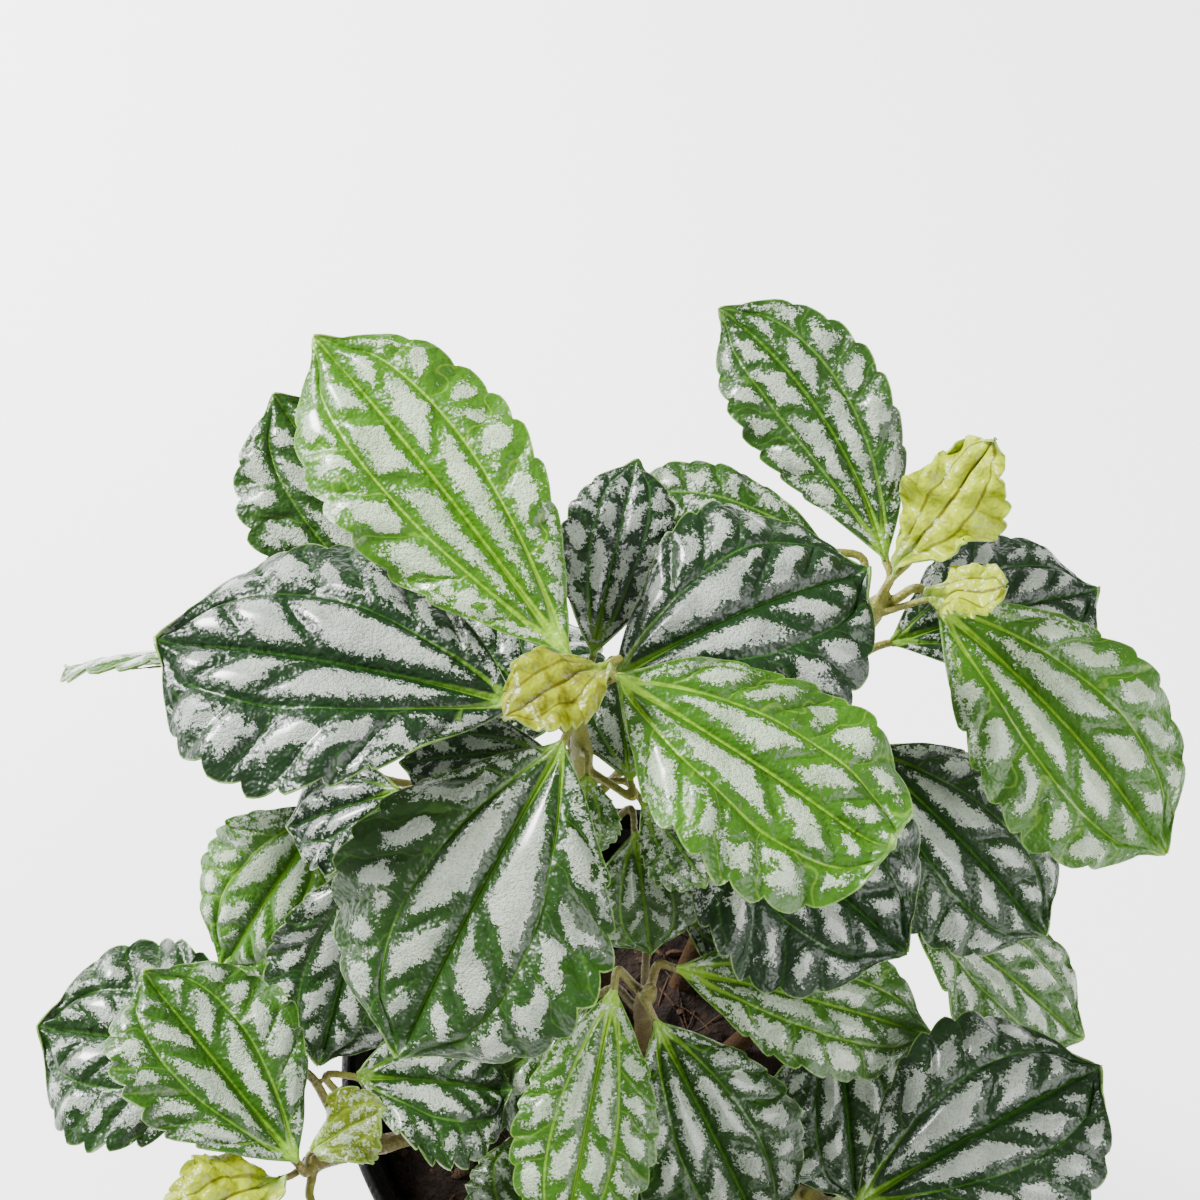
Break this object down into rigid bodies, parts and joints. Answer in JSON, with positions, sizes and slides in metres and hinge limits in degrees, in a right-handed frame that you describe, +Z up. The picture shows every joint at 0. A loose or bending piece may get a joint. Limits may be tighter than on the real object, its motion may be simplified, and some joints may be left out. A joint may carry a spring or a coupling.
{
  "type": "potted aluminum plant",
  "caption": "Leafy aluminum plant with toothed, silver-patterned blades on slender stems, growing in a tapered nursery pot of dark soil that stands on its flat base.",
  "frame": {"origin": "middle of the pot's flat underside", "axes": "+Z up along the pot's axis; -Y is the plant's front, the side the picture is taken from; +X is the viewer's right"},
  "size_m": [0.2242, 0.2308, 0.2497],
  "materials": {
    "pot_plastic": "near-black moulded plastic, satin",
    "potting_soil": "dark, damp, fibrous potting mix",
    "foliage": "glossy green with silver patches"
  },
  "bodies": {
    "root": {"pot": "pot_plastic", "soil": "potting_soil", "shoot_tall": "foliage", "shoot_right_back": "foliage", "shoot_cut": "foliage", "shoot_left": "foliage", "shoot_left_back": "foliage", "shoot_right": "foliage", "shoot_right_front": "foliage", "shoot_front": "foliage"}
  },
  "joints": []
}
